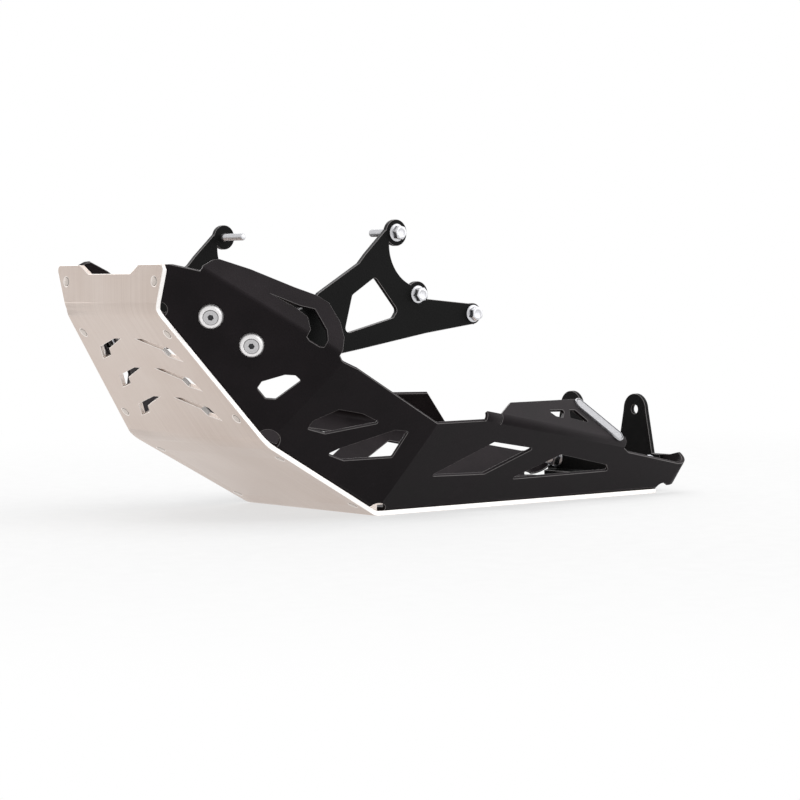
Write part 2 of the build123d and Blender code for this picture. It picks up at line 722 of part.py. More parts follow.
def rear_bolt():
    return flanged_bolt(rear_bolt_place(), rear_bolt_size, rear_bolt_length, rear_hex_width, rear_hex_flange,
                        rear_hex_flange_height, rear_head_height)


def rear_nut():
    seat = turned_over(rear_bolt_place(), panel_thickness + rear_strap_thickness)
    return flanged_nut(seat, rear_bolt_size, rear_hex_width, rear_hex_flange, rear_hex_flange_height,
                       rear_nut_height)


def badge_axes():
    """The badge's own axes on the left panel's rear flange, with X along the badge."""
    centre = lifted(upper_rear, 0, badge_place)
    along = centre.x_dir * cos(radians(badge_tilt)) - centre.y_dir * sin(radians(badge_tilt))
    return Plane(origin=centre.origin, x_dir=along, z_dir=centre.z_dir)


def badge_pin_axes():
    reach = badge_length / 2 - badge_pin_inset
    return [lifted(badge_axes(), 0, (side * reach, 0)) for side in (-1, 1)]


def badge_plate():
    """Blank plate with rounded ends and a raised rim."""
    axes = badge_axes()
    plate = extrude(SlotOverall(badge_length, badge_width), amount=badge_thickness)
    field = SlotOverall(badge_length - 2 * badge_rim, badge_width - 2 * badge_rim)
    plate -= Pos(0, 0, badge_thickness - badge_rim_depth) * extrude(field, amount=overrun)
    plate = axes * plate
    for pin in badge_pin_axes():
        plate -= pin * extrude(Circle(badge_pin / 2 + fit_clearance), amount=badge_thickness)
    return plate


def badge_pins():
    """Two headed pins that hold the badge, their tails spread under the flange."""
    seat, grip = badge_thickness - badge_rim_depth, -panel_thickness
    top, end = seat + badge_pin_head_height, grip - badge_pin_head_height
    head, shank = badge_pin_head / 2, badge_pin / 2
    section = [(0, top), (head, top), (head, seat), (shank, seat), (shank, grip), (head, grip), (head, end),
               (0, end)]
    return [pin * spun(section) for pin in badge_pin_axes()]


# The pieces
os.makedirs("parts", exist_ok=True)
write("base_plate", base_plate())
write("side_panel_left", side_panel(with_badge=True))
write("side_panel_right", mirror(side_panel(), about=Plane.XZ))
front_count = 1 + len(face_rivet_shares)
chin_count = len(chin_rivet_shares)
rivets = [rivet(place) for place in rivet_places()]
write_pair("front_rivets", rivets[:front_count])
write_pair("chin_rivets", rivets[front_count:front_count + chin_count])
write_pair("keel_rivets", rivets[front_count + chin_count:])
write_pair("cup_washers", [cup_washer(place) for place in screw_axes()])
write_pair("panel_screws", [panel_screw(place) for place in screw_axes()])
write_pair("panel_nuts", [panel_nut(place) for place in screw_axes()])
write_pair("engine_bracket", engine_bracket())
write_pair("engine_bolts", [engine_bolt(point) for point in engine_bolt_places])
write("rear_bracket", rear_bracket())
write_pair("rear_bolt", rear_bolt())
write_pair("rear_nut", rear_nut())
write("badge_plate", badge_plate())
write("badge_pins", badge_pins())
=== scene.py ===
"""Dresses the engine guard: sheet-metal finishes, turned and threaded fasteners, a blank badge, a studio."""
from math import cos, pi, radians

import bmesh
import bpy
import numpy as np
from bpy.props import FloatProperty, FloatVectorProperty, IntProperty, PointerProperty
from mathutils import Matrix, Vector


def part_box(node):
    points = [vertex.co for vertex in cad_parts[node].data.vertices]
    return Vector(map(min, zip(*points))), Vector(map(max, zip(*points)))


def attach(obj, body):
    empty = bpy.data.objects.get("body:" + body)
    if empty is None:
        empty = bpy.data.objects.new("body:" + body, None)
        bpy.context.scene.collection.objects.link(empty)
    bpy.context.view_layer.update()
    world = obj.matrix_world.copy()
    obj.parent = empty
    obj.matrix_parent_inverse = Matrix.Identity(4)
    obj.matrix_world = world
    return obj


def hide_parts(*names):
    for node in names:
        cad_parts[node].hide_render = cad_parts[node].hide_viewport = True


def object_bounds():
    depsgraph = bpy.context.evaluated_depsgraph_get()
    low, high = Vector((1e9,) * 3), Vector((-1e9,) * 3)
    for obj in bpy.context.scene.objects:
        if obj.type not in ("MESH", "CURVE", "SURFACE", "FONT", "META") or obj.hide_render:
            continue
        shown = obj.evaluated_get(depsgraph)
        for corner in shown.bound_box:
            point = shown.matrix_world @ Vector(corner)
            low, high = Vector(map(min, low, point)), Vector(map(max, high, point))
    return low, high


bl_info = {
    "name": "Motorcycle engine guard",
    "version": (1, 0, 0),
    "blender": (4, 5, 0),
    "location": "View3D > Sidebar > Engine guard",
    "description": "Finishes, fasteners and studio for a bent alloy engine guard",
    "category": "Object",
}

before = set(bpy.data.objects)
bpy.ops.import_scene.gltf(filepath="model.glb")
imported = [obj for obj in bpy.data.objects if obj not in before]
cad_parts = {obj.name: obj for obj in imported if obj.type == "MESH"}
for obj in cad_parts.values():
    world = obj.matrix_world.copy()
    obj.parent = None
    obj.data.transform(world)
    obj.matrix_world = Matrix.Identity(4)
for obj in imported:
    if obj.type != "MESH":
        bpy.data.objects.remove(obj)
cad_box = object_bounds()
MM = 0.001
SIDES = ("left", "right")

# Corners closer than this, in metres, are one, and faces that meet at less than these degrees flat or smooth
MERGE_DISTANCE = 1e-6
FLAT_ANGLE = 0.5
SMOOTH_ANGLE = 35.0

# Standard fasteners, in millimetres: flanged bolts and nuts by the size of their thread, 6 or 8
HEX_WIDTH = {6: 10.0, 8: 13.0}
FLANGE_WIDTH = {6: 14.2, 8: 17.9}
FLANGE_HEIGHT = {6: 1.5, 8: 1.8}
HEAD_HEIGHT = {6: 6.4, 8: 8.0}
NUT_HEIGHT = {6: 6.0, 8: 8.0}
ENGINE_BOLT_LENGTH = 32.0
REAR_BOLT_LENGTH = 20.0
SCREW_LENGTH = 20.0
SOCKET_WIDTH = 4.0
SOCKET_DEPTH = 2.4

# Threads: pitch of the 8 mm ones, depth as a share of the pitch, start below the seat or face, tip chamfer
COARSE_PITCH = 1.25
THREAD_DEPTH = 0.61
THREAD_START = 6.0
TIP_CHAMFER = 0.7

# Forged hexagons: how far their corners are turned off, and the width and angle of their broken edges
HEX_CHAMFER = 0.75
FORGED_EDGE = 0.12
FORGED_ANGLE = 38.0

# Degrees that each fastener in a node is turned further than the last, so that no two line up
SCREW_TURN = 17.0
BOLT_TURN = 19.0
NUT_TURN = 23.0

# Rivets, in millimetres: the groove, painted darker as shade, lies outside this radius, and no deeper than
# this below the flush head
RIVET_GROOVE_RADIUS = 3.15
RIVET_GROOVE_REACH = 1.6

# Sheets: edges sharper than this many degrees are cut edges
CUT_ANGLE = 40.0

# Saw block that trims the side panels level with the lip, in metres, and its reach behind the lip's front
SAW_SIZE = 0.2
SAW_HEIGHT = 0.03
SAW_REACH = 0.0105

# Badge and pins: faces around each, then in millimetres the bevelled edge, flat rim, groove and field
BADGE_STEPS = 64
PIN_STEPS = 24
BADGE_EDGE = 0.25
BADGE_RIM = 0.7
BADGE_GROOVE_WALL = 0.2
BADGE_GROOVE_DEPTH = 0.35
BADGE_GROOVE_FLOOR = 0.4
BADGE_FIELD_RISE = 0.15

# Floor, in metres: it fades to pure white between two distances, and is lifted where it is seen or mirrored
FLOOR_STEPS = 96
FLOOR_RADIUS = 6.0
FLOOR_LEVEL = -0.0002
FLOOR_FADE = (0.45, 1.1)
FLOOR_LIFT = 0.66
MIRRORED_LIFT = 0.16

# Lamps, each by its place and size in metres, which all face the middle of the guard
LAMP_AIM = (-0.1, 0.0, 0.1)
KEY_LAMP = ((-0.3, -0.4, 2.6), 3.2)
SIDE_LAMP = ((1.7, -1.6, 1.3), 3.4)
BACK_LAMP = ((0.3, 2.3, 1.3), 3.0)

# Camera: its place in metres, its angles in degrees and the width of its sensor in millimetres
CAMERA_PLACE = (-1.463, -1.725, 0.195)
CAMERA_TURN = -39.05
CAMERA_TILT = 87.23
CAMERA_ROLL = -0.45
SENSOR_WIDTH = 36.0

# Patterns, in marks to the metre on each axis or on all: rolling lines, clouds, flecks and paper fibres
ROLLING_LINES = (9.0, 2600.0, 9.0)
PLATE_CLOUDS = 16.0
COAT_CLOUDS = 30.0
COAT_FLECKS = 700.0
PAPER_FIBRES = 60.0

# Heights of the bumps in metres, and how far sideways a face of the plate points to count as a cut edge,
# which is painted almost white: partly the paler bare edge, partly a painted highlight
PLATE_RELIEF = 0.0001
COAT_RELIEF = 0.0002
METAL_RELIEF = 0.00005
CUT_EDGE_HIGHLIGHT_TURN = 0.6

# Bare metals: colour, roughness, and fine marks to the metre, drawn 1 to 2.5 mm apart so that they show
METALS = {
    # Filed sheet edges: paler and smoother than the anodised face, partly as bare metal and partly as a
    # painted highlight
    "filed_aluminium_edge_and_painted_highlight": ("#ECE6E1", 0.34, 400.0),
    # Cut edges of the coated sheets: a grey metal finish on the broken edge that paints a highlight line
    "painted_highlight_powder_coat_edge": ("#6A6767", 0.45, 400.0),
    "painted_highlight_satin_coat_edge": ("#757272", 0.4, 400.0),
    # Soft drawn wire, set cold: a satin head, a little warmer than the plate
    "drawn_rivet_aluminium": ("#C9C0B9", 0.36, 700.0),
    # The ring around a set head, painted darker as the shade in its groove
    "painted_shade_rivet_groove": ("#8C857F", 0.5, 700.0),
    # Turned and tumbled washers: bright, with a soft white sheen
    "turned_aluminium": ("#E8E6E6", 0.38, 900.0),
    # Bright zinc on steel: a cool, clean silver that shows the lamps on each facet
    "bright_zinc_screw_steel": ("#BBBABB", 0.3, 800.0),
    "bright_zinc_nut_steel": ("#BDBEC2", 0.3, 700.0),
    "bright_zinc_bolt_steel": ("#CBCBCE", 0.3, 700.0),
    # Inside of a socket, painted dark as the shade in the recess
    "painted_shade_socket_steel": ("#4A4A4C", 0.5, 800.0),
    # Stamped badge of satin aluminium, and its groove, painted darker as the shade in it
    "satin_badge_aluminium": ("#B2B2B5", 0.4, 500.0),
    "painted_shade_badge_groove": ("#5E5E61", 0.5, 500.0),
}


# Colours and nodes
def linear(code):
    """An sRGB hex colour as linear red, green, blue and alpha."""
    values = [int(code[index:index + 2], 16) / 255 for index in (1, 3, 5)]
    return tuple(v / 12.92 if v <= 0.04045 else ((v + 0.055) / 1.055) ** 2.4 for v in values) + (1.0,)


def add(tree, kind, settings=None, links=None, **attributes):
    """Adds a shader node, sets its attributes and inputs, and links its inputs from (node, output) pairs."""
    node = tree.nodes.new("ShaderNode" + kind)
    for name, value in attributes.items():
        setattr(node, name, value)
    for key, value in (settings or {}).items():
        node.inputs[key].default_value = value
    for key, (source, output) in (links or {}).items():
        tree.links.new(source.outputs[output], node.inputs[key])
    return node


def new_material(name):
    """An empty node material, its node tree and its output."""
    material = bpy.data.materials.new(name)
    material.use_nodes = True
    material.node_tree.nodes.clear()
    return material, material.node_tree, add(material.node_tree, "OutputMaterial")


def grain(tree, scale, detail=2.0, roughness=0.5, stretch=(1.0, 1.0, 1.0)):
    """Noise on object coordinates; scale is in bumps to the metre, times the stretch on each axis."""
    place = add(tree, "TexCoord")
    stretched = add(tree, "Mapping", {"Scale": stretch}, {"Vector": (place, "Object")})
    return add(tree, "TexNoise", {"Scale": scale, "Detail": detail, "Roughness": roughness},
               {"Vector": (stretched, "Vector")})


def ramp(tree, source, low, high, stops):
    """Colour ramp between two positions of a value."""
    node = add(tree, "ValToRGB", links={"Fac": source})
    node.color_ramp.elements[0].position = low
    node.color_ramp.elements[1].position = high
    node.color_ramp.elements[0].color = stops[0]
    node.color_ramp.elements[1].color = stops[1]
    return node


def spread(tree, source, low, high):
    """Noise, which lies mostly within 0.3..0.7, brought to low..high."""
    return add(tree, "MapRange", {"From Min": 0.3, "From Max": 0.7, "To Min": low, "To Max": high},
               {"Value": source})


def anodised_plate(finish):
    """4 mm rolled alloy sheet, etched and clear anodised: a soft, slightly warm grey sheen with faint rolling
    lines along the plate, a little cloudy, and almost white where a face points sideways, on the cut edges:
    partly the paler bare edge and partly a painted highlight.
    The real lines are finer than 0.1 mm, so they are drawn about 0.4 mm apart."""
    material, tree, output = new_material("clear_anodised_rolled_aluminium")
    lines = grain(tree, 1.0, stretch=ROLLING_LINES)
    clouds = grain(tree, PLATE_CLOUDS, 3.0)
    tone = ramp(tree, (lines, "Fac"), 0.2, 0.8, (linear("#C6BAB2"), linear("#D6CCC5")))
    warm = ramp(tree, (clouds, "Fac"), 0.3, 0.7, (linear("#E8DED8"), linear("#FFFDFC")))
    blend = add(tree, "Mix", {"Factor": 0.55}, {"A": (tone, "Color"), "B": (warm, "Color")},
                data_type="RGBA", blend_type="MULTIPLY")
    normal = add(tree, "NewGeometry")
    axes = add(tree, "SeparateXYZ", links={"Vector": (normal, "Normal")})
    # Faces pointing sideways, the cut edges, are painted almost white: partly the paler bare edge, partly a
    # painted highlight
    sideways = add(tree, "Math", links={0: (axes, "Y")}, operation="ABSOLUTE")
    edge = add(tree, "Math", {1: CUT_EDGE_HIGHLIGHT_TURN}, {0: (sideways, "Value")}, operation="GREATER_THAN")
    cut = add(tree, "Mix", {"B": linear("#FFFCFA")},
              {"Factor": (edge, "Value"), "A": (blend, "Result")}, data_type="RGBA")
    sheen = spread(tree, (clouds, "Fac"), finish.plate_roughness - 0.05,
                   finish.plate_roughness + 0.06)
    relief = add(tree, "Bump", {"Strength": 0.05, "Distance": PLATE_RELIEF}, {"Height": (lines, "Fac")})
    metal = add(tree, "BsdfPrincipled", {"Metallic": 1.0},
                {"Base Color": (cut, "Result"), "Roughness": (sheen, "Result"), "Normal": (relief, "Normal")})
    tree.links.new(metal.outputs["BSDF"], output.inputs["Surface"])
    return material


def powder_coat(name, colour, roughness, grain_size, strength, gloss):
    """Baked polyester powder on sheet metal: near black, even, with a fine pebbled skin that breaks up the
    reflections, and grey flecks where single grains catch the light. The real grain of about 0.3 mm is too
    fine to show, so its pebbles and flecks are drawn about 1 mm apart."""
    material, tree, output = new_material(name)
    pebbles = grain(tree, 1 / grain_size)
    clouds = grain(tree, COAT_CLOUDS, 3.0)
    painted_glints = grain(tree, COAT_FLECKS, 3.0, 0.7)
    dark = tuple(channel * 0.75 for channel in colour) + (1.0,)
    light = tuple(channel * 1.3 for channel in colour) + (1.0,)
    tone = ramp(tree, (clouds, "Fac"), 0.3, 0.7, (dark, light))
    # The grey flecks added to the coat's colour are painted glints of single grains
    fleck = ramp(tree, (painted_glints, "Fac"), 0.58, 0.8, (linear("#000000"), linear("#171616")))
    skin = add(tree, "Mix", {"Factor": 1.0}, {"A": (tone, "Color"), "B": (fleck, "Color")},
               data_type="RGBA", blend_type="ADD")
    sheen = spread(tree, (clouds, "Fac"), roughness - 0.04, roughness + 0.06)
    relief = add(tree, "Bump", {"Strength": strength, "Distance": COAT_RELIEF},
                 {"Height": (pebbles, "Fac")})
    coat = add(tree, "BsdfPrincipled", {"Specular IOR Level": gloss},
               {"Base Color": (skin, "Result"), "Roughness": (sheen, "Result"), "Normal": (relief, "Normal")})
    tree.links.new(coat.outputs["BSDF"], output.inputs["Surface"])
    return material


def bare_metal(name):
    """Small metal parts, turned, plated or drawn, and the finishes of broken edges, grooves and sockets,
    which paint highlights on the edges and shade in the hollows: all a little uneven in colour and sheen.
    """
    code, roughness, scale = METALS[name]
    colour = linear(code)[:3]
    material, tree, output = new_material(name)
    marks = grain(tree, scale, 3.0, 0.6)
    dark = tuple(channel * 0.86 for channel in colour) + (1.0,)
    light = tuple(min(1.0, channel * 1.08) for channel in colour) + (1.0,)
    tone = ramp(tree, (marks, "Fac"), 0.25, 0.75, (dark, light))
    sheen = spread(tree, (marks, "Fac"), roughness - 0.05, roughness + 0.07)
    relief = add(tree, "Bump", {"Strength": 0.08, "Distance": METAL_RELIEF}, {"Height": (marks, "Fac")})
    metal = add(tree, "BsdfPrincipled", {"Metallic": 1.0},
                {"Base Color": (tone, "Color"), "Roughness": (sheen, "Result"), "Normal": (relief, "Normal")})
    tree.links.new(metal.outputs["BSDF"], output.inputs["Surface"])
    return material


# Modelling helpers
def deselect():
    """Leaves edit mode and selects nothing, so that the next operator acts only on what it should."""
    if bpy.context.object and bpy.context.object.mode != "OBJECT":
        bpy.ops.object.mode_set(mode="OBJECT")
    bpy.ops.object.select_all(action="DESELECT")


def select_only(piece):
    """Makes one piece active, and selects it and nothing else."""
    deselect()
    bpy.context.view_layer.objects.active = piece
    piece.select_set(True)


def turned(name, rings, steps=48, bored=False):
    """A turned piece about Z: a circle is extruded and resized from ring to ring, each a radius and height in
    millimetres."""
    deselect()
    (radius, height), *rest = rings
    bpy.ops.mesh.primitive_circle_add(vertices=steps, radius=radius * MM, location=(0, 0, height * MM),
                                      fill_type="NOTHING" if bored else "NGON")
    piece = bpy.context.object
    piece.name = piece.data.name = name
    bpy.ops.object.transform_apply()
    bpy.ops.object.mode_set(mode="EDIT")
    bpy.ops.mesh.select_all(action="SELECT")
    for new_radius, new_height in rest:
        bpy.ops.mesh.extrude_region_move(
            TRANSFORM_OT_translate={"value": (0, 0, (new_height - height) * MM)})
        ratio = new_radius / radius
        bpy.ops.transform.resize(value=(ratio, ratio, 1), center_override=(0, 0, new_height * MM))
        radius, height = new_radius, new_height
    if bored:
        bpy.ops.mesh.select_all(action="DESELECT")
        bpy.ops.mesh.select_mode(type="EDGE")
        bpy.ops.mesh.select_non_manifold()
        bpy.ops.mesh.bridge_edge_loops()
    bpy.ops.mesh.select_all(action="SELECT")
    bpy.ops.mesh.normals_make_consistent(inside=False)
    bpy.ops.object.mode_set(mode="OBJECT")
    return piece


def combine(piece, tool, operation):
    """Cuts, joins or trims a piece with another closed piece, which is used up."""
    select_only(piece)
    change = piece.modifiers.new("combine", "BOOLEAN")
    change.operation = operation
    change.solver = "EXACT"
    change.object = tool
    bpy.ops.object.modifier_apply(modifier=change.name)
    bpy.data.objects.remove(tool, do_unlink=True)
    return piece


def soften(piece, width=0.0):
    """Breaks the sharp edges of a forged piece by a width in millimetres, if one is given, and shades it
    smooth."""
    select_only(piece)
    if width:
        edge = piece.modifiers.new("edge", "BEVEL")
        edge.width = width * MM
        edge.segments = 1
        edge.limit_method = "ANGLE"
        edge.angle_limit = radians(FORGED_ANGLE)
        edge.miter_outer = "MITER_ARC"
        bpy.ops.object.modifier_apply(modifier=edge.name)
    bpy.ops.object.shade_smooth_by_angle(angle=radians(SMOOTH_ANGLE))
    return piece


def thread_rings(start, end, major, pitch):
    """Rings of a rolled thread from one height to the other, as closed ridges a pitch apart."""
    count = max(1, int(abs(end - start) / pitch))
    step = (end - start) / count
    root = major - THREAD_DEPTH * pitch
    points = []
    for index in range(count):
        level = start + index * step
        points += [(root, level + 0.12 * step), (major, level + 0.45 * step),
                   (major, level + 0.58 * step), (root, level + 0.92 * step)]
    return points


# Places of the fasteners, read from their solids
def loose_parts(node):
    """Corner points of each separate solid in a CAD node."""
    mesh = bmesh.new()
    mesh.from_mesh(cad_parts[node].data)
    bmesh.ops.remove_doubles(mesh, verts=mesh.verts, dist=MERGE_DISTANCE)
    left, parts = set(mesh.verts), []
    while left:
        queue, part = [left.pop()], []
        while queue:
            vertex = queue.pop()
            part.append(tuple(vertex.co))
            for edge in vertex.link_edges:
                other = edge.other_vert(vertex)
                if other in left:
                    left.remove(other)
                    queue.append(other)
        parts.append(np.array(part))
    mesh.free()
    return sorted(parts, key=lambda part: tuple(part.mean(axis=0).round(4)))


def fastener_places(node):
    """Where each fastener of a node stands: its outer end as the origin and Z outwards along its axis."""
    middle = (Vector(cad_box[0]) + Vector(cad_box[1])) / 2
    places = []
    for part in loose_parts(node):
        centre = part.mean(axis=0)
        values, vectors = np.linalg.eigh(np.cov((part - centre).T))
        odd = 0 if values[1] - values[0] > values[2] - values[1] else 2
        axis = Vector(vectors[:, odd]).normalized()
        if axis.dot(Vector(centre) - middle) < 0:
            axis = -axis
        reach = max((part - centre) @ np.array(axis))
        across = Vector((0, 0, 1)) if abs(axis.z) < 0.9 else Vector((1, 0, 0))
        x_axis = across.cross(axis).normalized()
        y_axis = axis.cross(x_axis)
        turn = Matrix((x_axis, y_axis, axis)).transposed().to_4x4()
        places.append(Matrix.Translation(Vector(centre) + axis * reach) @ turn)
    return places


def stand(piece, place, material, node):
    """Puts a piece in its place, applies that to the mesh, gives it its finish unless it has one, hangs it
    on the root body and hides the CAD node that it stands for."""
    select_only(piece)
    piece.matrix_world = place
    bpy.ops.object.transform_apply(location=True, rotation=True, scale=True)
    if material:
        piece.data.materials.append(material)
    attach(piece, "root")
    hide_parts(node)
    return piece


def repeat(model, name, places, material, node, turn=0.0):
    """Copies a finished model to each place, each copy with its own mesh and turned a little further."""
    for index, place in enumerate(places):
        copy = model.copy()
        copy.data = model.data.copy()
        copy.name = copy.data.name = f"{name}_{index + 1}"
        bpy.context.collection.objects.link(copy)
        stand(copy, place @ Matrix.Rotation(radians(turn) * (index + 1), 4, "Z"), material, node)


def break_edges(sheet, width):
    """Breaks the cut edges of a sheet; the second material shows on the broken edge."""
    weld = sheet.modifiers.new("weld", "WELD")
    weld.merge_threshold = MERGE_DISTANCE
    flat = sheet.modifiers.new("flat", "DECIMATE")
    flat.decimate_type = "DISSOLVE"
    flat.angle_limit = radians(FLAT_ANGLE)
    broken = sheet.modifiers.new("edge", "BEVEL")
    broken.width = width * MM
    broken.segments = 2
    broken.limit_method = "ANGLE"
    broken.angle_limit = radians(CUT_ANGLE)
    broken.use_clamp_overlap = False
    broken.harden_normals = True
    broken.material = 1


def dress(node, materials, edge):
    """A CAD sheet keeps its shape and gets a finish, with its cut edges broken and given a paler finish that
    paints a highlight on them.
    """
    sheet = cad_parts[node]
    sheet.data.materials.clear()
    for material in materials:
        sheet.data.materials.append(material)
    break_edges(sheet, edge)


def own_copy(node, name):
    """A merged copy of a CAD sheet, to be shaped further."""
    sheet = bpy.data.objects.new(name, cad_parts[node].data.copy())
    sheet.data.name = name
    bpy.context.collection.objects.link(sheet)
    select_only(sheet)
    bpy.ops.object.mode_set(mode="EDIT")
    bpy.ops.mesh.select_all(action="SELECT")
    bpy.ops.mesh.remove_doubles(threshold=MERGE_DISTANCE)
    bpy.ops.object.mode_set(mode="OBJECT")
    return sheet


def hex_body(name, size, height):
    """A hexagon with its top corners turned off to a cone, as forged heads and nuts have."""
    width, base = HEX_WIDTH[size], FLANGE_HEIGHT[size] / 2
    corner = width / 2 / cos(pi / 6)
    body = turned(name, [(corner, base), (corner, height)], 6)
    cone = turned(name + "_cone", [(corner + 0.5, base - 0.5), (corner + 0.5, height - HEX_CHAMFER),
                                   (width / 2 * 0.98, height + 0.001)])
    return combine(body, cone, "INTERSECT")


# Sizes and colours that a user would change
class FinishSettings(bpy.types.PropertyGroup):
    """Finishes of the sheets"""
    plate_roughness: FloatProperty(name="Plate roughness", description="How matt the anodised plate is",
                                   default=0.42, min=0.05, max=1.0, subtype="FACTOR")
    coat_roughness: FloatProperty(name="Powder coat roughness", description="How matt the side panels are",
                                  default=0.5, min=0.1, max=1.0, subtype="FACTOR")
    coat_colour: FloatVectorProperty(name="Powder coat", description="Colour of the side panels", size=3,
                                     default=linear("#242022")[:3], min=0.0, max=1.0, subtype="COLOR")
    bracket_colour: FloatVectorProperty(name="Bracket coat", description="Colour of the brackets", size=3,
                                        default=linear("#101010")[:3], min=0.0, max=1.0, subtype="COLOR")
    edge_break: FloatProperty(name="Edge break", description="Width of the broken cut edges, in millimetres",
                              default=0.35, min=0.05, max=1.0)


class FastenerSettings(bpy.types.PropertyGroup):
    """Sizes of the turned and forged pieces"""
    steps: IntProperty(name="Steps", description="Faces around each turned piece", default=48, min=16, max=96)
    dimple: FloatProperty(name="Head dimple", description="Depth of the forged dimple, in millimetres",
                          default=0.25, min=0.0, max=1.5)
    thread_pitch: FloatProperty(name="Thread pitch", description="Pitch of the 6 mm threads, in millimetres",
                                default=1.0, min=0.5, max=1.5)


class StageSettings(bpy.types.PropertyGroup):
    """Light and view of the studio"""
    key_power: FloatProperty(name="Key light", description="Power of the large lamp above", default=82.0,
                             min=0.0, unit="POWER")
    side_power: FloatProperty(name="Side light", description="Power of the lamp beside the left panel",
                              default=38.0, min=0.0, unit="POWER")
    back_power: FloatProperty(name="Back light", description="Power of the lamp behind", default=58.0,
                              min=0.0, unit="POWER")
    sky: FloatProperty(name="Surroundings", description="Strength of the even light", default=0.35, min=0.0)
    lens: FloatProperty(name="Lens", description="Focal length of the camera, in millimetres", default=117.0,
                        min=20.0, unit="CAMERA")


class GUARD_OT_base_plate(bpy.types.Operator):
    """Gives the bent base plate its anodised finish"""
    bl_idname = "guard.base_plate"
    bl_label = "Base plate"

    def execute(self, context):
        finish = context.scene.guard_finish
        # The plate's broken edges get a paler finish: partly bare metal, partly a painted highlight
        materials = (anodised_plate(finish), bare_metal("filed_aluminium_edge_and_painted_highlight"))
        dress("base_plate", materials, finish.edge_break)
        return {"FINISHED"}


class GUARD_OT_side_panels(bpy.types.Operator):
    """Trims the two folded side panels level with the lip and powder-coats them"""
    bl_idname = "guard.side_panels"
    bl_label = "Side panels"

    def execute(self, context):
        finish = context.scene.guard_finish
        coat = powder_coat("black_fine_texture_powder_coat", finish.coat_colour, finish.coat_roughness,
                           grain_size=0.0012, strength=0.6, gloss=0.08)
        # The broken edges get a grey finish that paints a highlight line on them
        edge = bare_metal("painted_highlight_powder_coat_edge")
        lip_front, lip_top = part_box("base_plate")[0][0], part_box("base_plate")[1][2]
        for side in SIDES:
            panel = own_copy(f"side_panel_{side}", f"folded_side_panel_{side}")
            deselect()
            middle = lip_front + SAW_REACH - SAW_SIZE / 2
            bpy.ops.mesh.primitive_plane_add(size=SAW_SIZE, location=(middle, 0, lip_top))
            saw = bpy.context.object
            bpy.ops.object.mode_set(mode="EDIT")
            bpy.ops.mesh.select_all(action="SELECT")
            bpy.ops.mesh.extrude_region_move(TRANSFORM_OT_translate={"value": (0, 0, SAW_HEIGHT)})
            bpy.ops.mesh.select_all(action="SELECT")
            bpy.ops.mesh.normals_make_consistent(inside=False)
            bpy.ops.object.mode_set(mode="OBJECT")
            combine(panel, saw, "DIFFERENCE")
            panel.data.materials.clear()
            panel.data.materials.append(coat)
            panel.data.materials.append(edge)
            break_edges(panel, finish.edge_break)
            select_only(panel)
            for name in [change.name for change in panel.modifiers]:
                bpy.ops.object.modifier_apply(modifier=name)
            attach(panel, "root")
            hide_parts(f"side_panel_{side}")
        return {"FINISHED"}


class GUARD_OT_brackets(bpy.types.Operator):
    """Coats the engine brackets and the rear cross bracket"""
    bl_idname = "guard.brackets"
    bl_label = "Brackets"

    def execute(self, context):
        finish = context.scene.guard_finish
        coat = powder_coat("black_satin_powder_coat", finish.bracket_colour, finish.coat_roughness - 0.06,
                           grain_size=0.0007, strength=0.2, gloss=0.07)
        # The broken edges get a grey finish that paints a highlight line on them
        edge = bare_metal("painted_highlight_satin_coat_edge")
        for node in ("engine_bracket_left", "engine_bracket_right", "rear_bracket"):
            dress(node, (coat, edge), finish.edge_break)
        return {"FINISHED"}


class GUARD_OT_rivets(bpy.types.Operator):
    """Makes the flush rivets that join plate and panels"""
    bl_idname = "guard.rivets"
    bl_label = "Rivets"

    def execute(self, context):
        steps = context.scene.guard_fasteners.steps
        set_end = [(2.4, -9.2), (3.1, -8.9), (3.3, -8.4), (3.3, -7.25), (3.1, -7.0), (2.0, -7.0)]
        flush_head = [(2.0, -2.0), (3.55, -0.45), (3.4, -0.3), (3.2, -0.05), (3.05, 0.0)]
        model = turned("rivet", set_end + flush_head, steps)
        soften(model)
        model.data.materials.append(bare_metal("drawn_rivet_aluminium"))
        model.data.materials.append(bare_metal("painted_shade_rivet_groove"))
        # Faces of the groove around the head get the painted shade
        for face in model.data.polygons:
            outside = face.center.xy.length > RIVET_GROOVE_RADIUS * MM
            face.material_index = 1 if outside and face.center.z > -RIVET_GROOVE_REACH * MM else 0
        for row in ("front", "chin", "keel"):
            for side in SIDES:
                node = f"{row}_rivets_{side}"
                repeat(model, f"{row}_rivet_{side}", fastener_places(node), None, node)
        bpy.data.objects.remove(model)
        return {"FINISHED"}


class GUARD_OT_cup_washers(bpy.types.Operator):
    """Turns the cup washers under the panel screws"""
    bl_idname = "guard.cup_washers"
    bl_label = "Cup washers"

    def execute(self, context):
        steps = context.scene.guard_fasteners.steps
        seat = [(3.2, -4.6), (9.7, -4.6), (9.9, -4.4)]
        dome = [(9.9, -3.8), (9.8, -3.2), (9.55, -2.5), (9.2, -1.8), (8.75, -1.2), (8.2, -0.65), (7.6, -0.25),
                (7.1, -0.05)]
        mouth = [(6.8, 0.0), (6.5, -0.05), (6.3, -0.2), (6.1, -0.45), (3.3, -2.95), (3.2, -3.1)]
        model = turned("cup_washer", seat + dome + mouth, steps, bored=True)
        soften(model)
        metal = bare_metal("turned_aluminium")
        for side in SIDES:
            node = f"cup_washers_{side}"
            repeat(model, f"cup_washer_{side}", fastener_places(node), metal, node)
        bpy.data.objects.remove(model)
        return {"FINISHED"}


